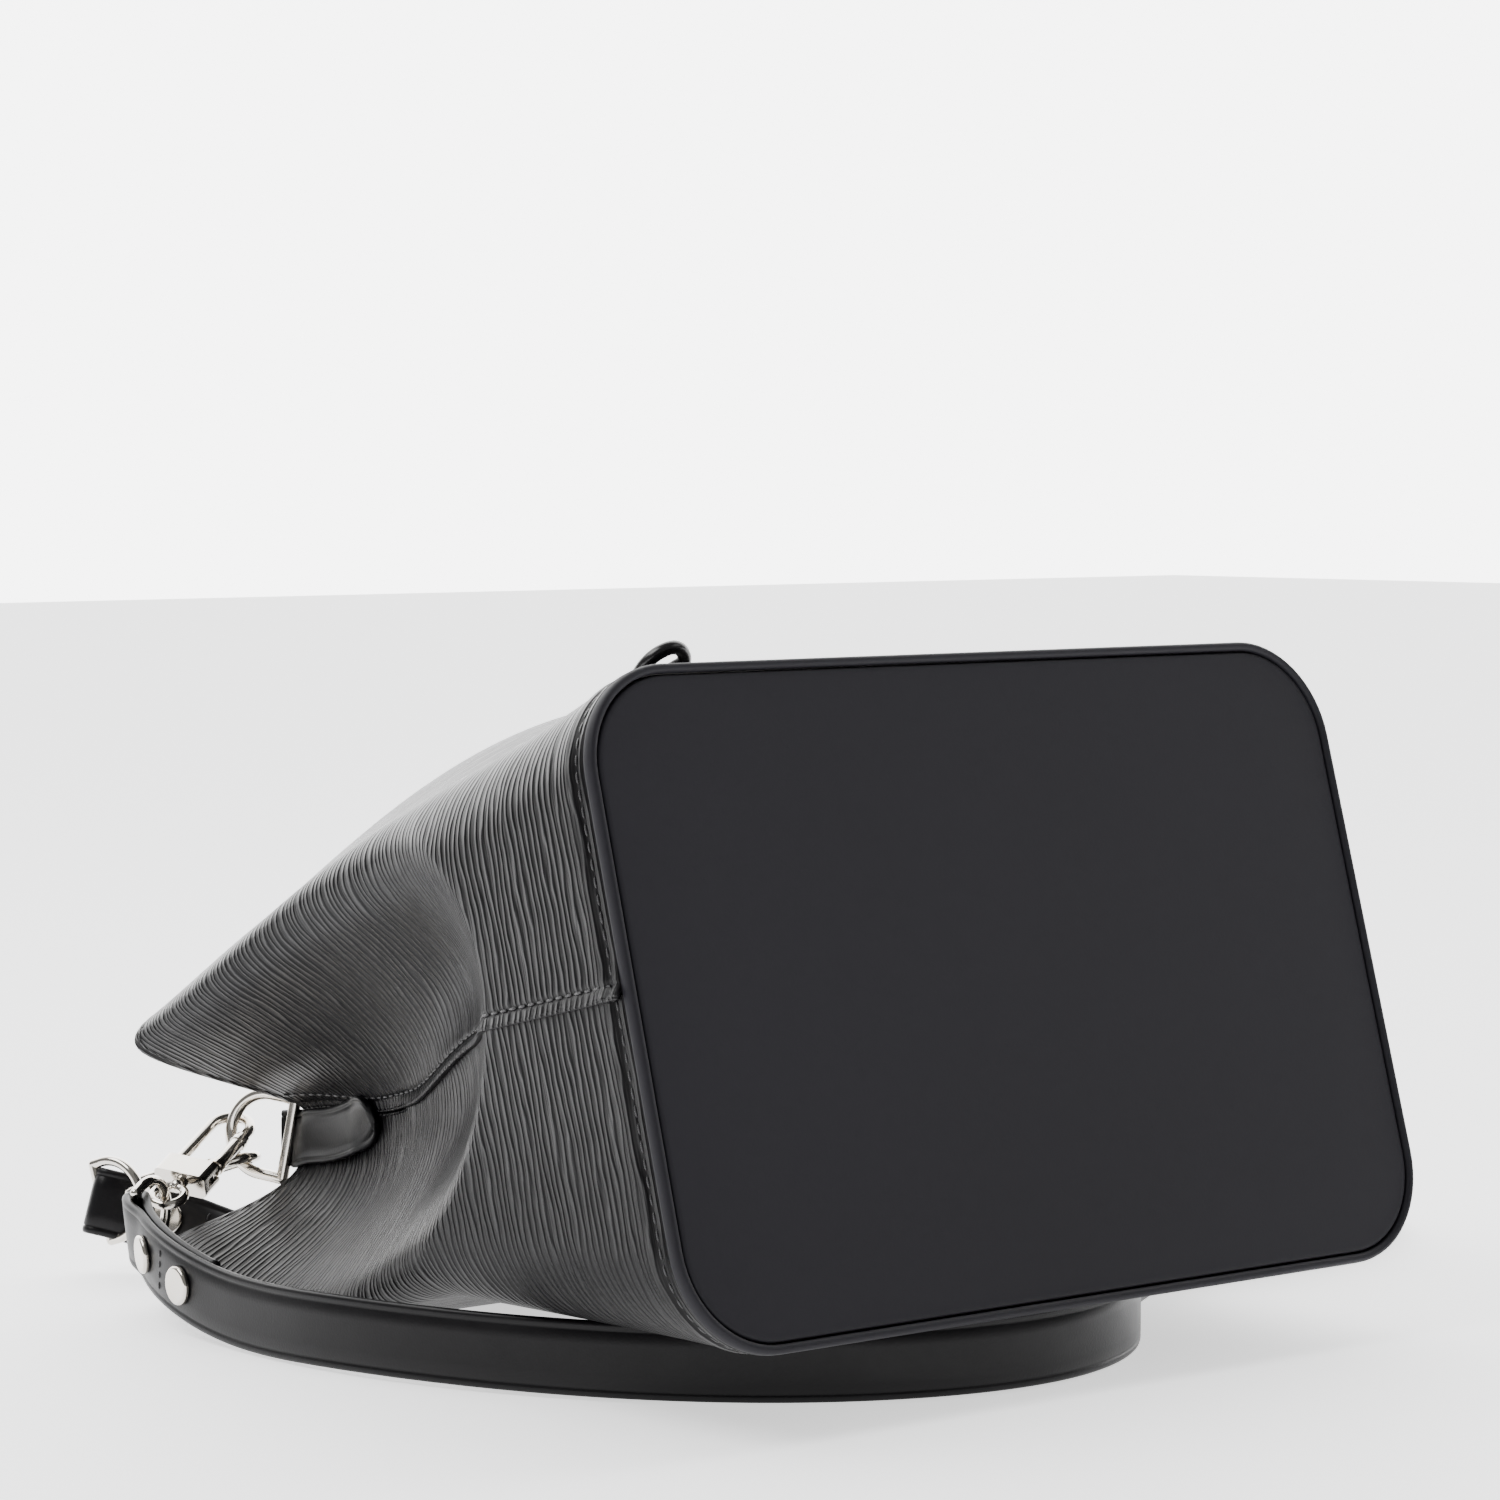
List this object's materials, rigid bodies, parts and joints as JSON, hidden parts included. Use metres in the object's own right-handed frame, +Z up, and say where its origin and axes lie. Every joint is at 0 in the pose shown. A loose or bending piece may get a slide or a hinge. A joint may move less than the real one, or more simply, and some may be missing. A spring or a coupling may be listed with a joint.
{
  "type": "drawstring bucket handbag",
  "caption": "Ribbed black leather bucket handbag on its side: stiff smooth base, soft folded mouth with drawstring, long strap and handle with snap hooks.",
  "frame": {"origin": "on the floor, under the middle of the whole object's bounding box", "axes": "+X along the base's long side, +Y from the base to the mouth, +Z up from the floor the bag lies on"},
  "size_m": [0.4108, 0.3886, 0.1898],
  "materials": {
    "base_leather": "smooth matt calf leather",
    "ribbed_leather": "ribbed embossed grain, satin gloss",
    "strap_leather": "smooth, edge painted",
    "cord_leather": "smooth round cord",
    "lining": "suede-like textile",
    "zip_tape": "woven tape",
    "board": "stiffener sheet",
    "metal": "polished palladium-tone plating"
  },
  "bodies": {
    "bag": {"base_panel": "base_leather", "base_rim": "base_leather", "base_board": "board", "front_panel": "ribbed_leather", "back_panel": "ribbed_leather", "front_lining": "lining", "back_lining": "lining", "tab_left": "strap_leather", "tab_right": "strap_leather", "zip_pocket": "lining", "zip_tape": "zip_tape", "zip_teeth": "metal", "drawstring_run": "cord_leather", "drawstring_arch": "cord_leather", "long_strap": "strap_leather", "handle_strap": "strap_leather", "rivet_long_left_1": "metal", "rivet_long_left_2": "metal", "rivet_long_right_1": "metal", "rivet_long_right_2": "metal", "rivet_handle_left_1": "metal", "rivet_handle_left_2": "metal", "rivet_handle_right_1": "metal", "rivet_handle_right_2": "metal"},
    "d_ring_left": {"d_ring_left": "metal"},
    "d_ring_right": {"d_ring_right": "metal"},
    "zip_slider": {"zip_slider": "metal"},
    "zip_pull": {"zip_pull": "metal"},
    "ring_long_left": {"strap_ring_long_left": "metal"},
    "swivel_long_left": {"swivel_long_left": "metal"},
    "hook_long_left": {"frame_long_left": "metal", "gate_pin_long_left": "metal"},
    "gate_long_left": {"gate_long_left": "metal"},
    "ring_long_right": {"strap_ring_long_right": "metal"},
    "swivel_long_right": {"swivel_long_right": "metal"},
    "hook_long_right": {"frame_long_right": "metal", "gate_pin_long_right": "metal"},
    "gate_long_right": {"gate_long_right": "metal"},
    "ring_handle_left": {"strap_ring_handle_left": "metal"},
    "swivel_handle_left": {"swivel_handle_left": "metal"},
    "hook_handle_left": {"frame_handle_left": "metal", "gate_pin_handle_left": "metal"},
    "gate_handle_left": {"gate_handle_left": "metal"},
    "ring_handle_right": {"strap_ring_handle_right": "metal"},
    "swivel_handle_right": {"swivel_handle_right": "metal"},
    "hook_handle_right": {"frame_handle_right": "metal", "gate_pin_handle_right": "metal"},
    "gate_handle_right": {"gate_handle_right": "metal"}
  },
  "joints": [
    {"name": "d_ring_left_swing", "type": "hinge", "parent": "bag", "child": "d_ring_left", "pos_m": [-0.13829, 0.06207, 0.04351], "axis": [-0.1669, 0.0648, -0.9838], "range_deg": [-0.3, 0.3]},
    {"name": "d_ring_right_swing", "type": "hinge", "parent": "bag", "child": "d_ring_right", "pos_m": [0.01868, 0.06207, 0.04351], "axis": [0.1669, 0.0648, -0.9838], "range_deg": [-50, 36]},
    {"name": "ring_long_left_swing", "type": "hinge", "parent": "bag", "child": "ring_long_left", "pos_m": [-0.19093, 0.05912, 0.02363], "axis": [0.3046, 0.3121, -0.8999], "range_deg": [-0.5, 0.5]},
    {"name": "swivel_long_left_swing", "type": "hinge", "parent": "ring_long_left", "child": "swivel_long_left", "pos_m": [-0.17858, 0.06496, 0.02983], "axis": [0.3046, 0.3121, -0.8999], "range_deg": [-0.6, 0.6]},
    {"name": "hook_long_left_turn", "type": "hinge", "parent": "swivel_long_left", "child": "hook_long_left", "pos_m": [-0.17183, 0.06815, 0.03322], "axis": [-0.8232, -0.3891, -0.4135], "range_deg": [-3, 3]},
    {"name": "gate_long_left_open", "type": "hinge", "parent": "hook_long_left", "child": "gate_long_left", "pos_m": [-0.16401, 0.06528, 0.03488], "axis": [-0.3046, -0.3121, 0.8999], "range_deg": [0, 11], "stiffness_Nm_per_rad": 0.02, "springref_deg": -8.59},
    {"name": "ring_long_right_swing", "type": "hinge", "parent": "bag", "child": "ring_long_right", "pos_m": [0.17619, 0.05798, 0.00441], "axis": [0.891, 0.454, 0], "range_deg": [-4, 60]},
    {"name": "swivel_long_right_swing", "type": "hinge", "parent": "ring_long_right", "child": "swivel_long_right", "pos_m": [0.16944, 0.07123, 0.00636], "axis": [0.891, 0.454, 0], "range_deg": [-8, 45]},
    {"name": "hook_long_right_turn", "type": "hinge", "parent": "swivel_long_right", "child": "hook_long_right", "pos_m": [0.16574, 0.07851, 0.00561], "axis": [0.4521, -0.8872, 0.0917], "continuous": true},
    {"name": "gate_long_right_open", "type": "hinge", "parent": "hook_long_right", "child": "gate_long_right", "pos_m": [0.15768, 0.0811, 0.00506], "axis": [0.0416, -0.0817, -0.9958], "range_deg": [0, 11], "stiffness_Nm_per_rad": 0.02, "springref_deg": -8.59},
    {"name": "ring_handle_left_swing", "type": "hinge", "parent": "bag", "child": "ring_handle_left", "pos_m": [-0.1633, 0.12537, 0.01969], "axis": [0.0748, -0.3006, -0.9508], "range_deg": [-0.5, 0.5]},
    {"name": "swivel_handle_left_swing", "type": "hinge", "parent": "ring_handle_left", "child": "swivel_handle_left", "pos_m": [-0.15852, 0.11192, 0.02431], "axis": [0.0748, -0.3006, -0.9508], "range_deg": [-0.6, 0.6]},
    {"name": "hook_handle_left_turn", "type": "hinge", "parent": "swivel_handle_left", "child": "hook_handle_left", "pos_m": [-0.15591, 0.10457, 0.02684], "axis": [-0.3186, 0.8963, -0.3084], "range_deg": [-3, 3]},
    {"name": "gate_handle_left_open", "type": "hinge", "parent": "hook_handle_left", "child": "gate_handle_left", "pos_m": [-0.15967, 0.09724, 0.02887], "axis": [-0.0748, 0.3006, 0.9508], "range_deg": [0, 11], "stiffness_Nm_per_rad": 0.02, "springref_deg": -8.59},
    {"name": "ring_handle_right_swing", "type": "hinge", "parent": "bag", "child": "ring_handle_right", "pos_m": [0.0542, 0.13598, 0.00441], "axis": [0.9659, 0.2588, 0], "range_deg": [-4, 60]},
    {"name": "swivel_handle_right_swing", "type": "hinge", "parent": "ring_handle_right", "child": "swivel_handle_right", "pos_m": [0.05035, 0.15034, 0.00636], "axis": [0.9659, 0.2588, 0], "range_deg": [-8, 45]},
    {"name": "hook_handle_right_turn", "type": "hinge", "parent": "swivel_handle_right", "child": "hook_handle_right", "pos_m": [0.04823, 0.15823, 0.00561], "axis": [0.2577, -0.9619, 0.0917], "continuous": true},
    {"name": "gate_handle_right_open", "type": "hinge", "parent": "hook_handle_right", "child": "gate_handle_right", "pos_m": [0.04089, 0.16245, 0.00506], "axis": [0.0237, -0.0886, -0.9958], "range_deg": [0, 11], "stiffness_Nm_per_rad": 0.02, "springref_deg": -8.59},
    {"name": "zip_slide", "type": "slide", "parent": "bag", "child": "zip_slider", "axis": [1, 0, 0], "range_m": [0, 0.116]},
    {"name": "zip_pull_lift", "type": "hinge", "parent": "zip_slider", "child": "zip_pull", "pos_m": [-0.1198, 0.00185, 0.01222], "axis": [0, -1, 0], "range_deg": [0, 150]}
  ]
}
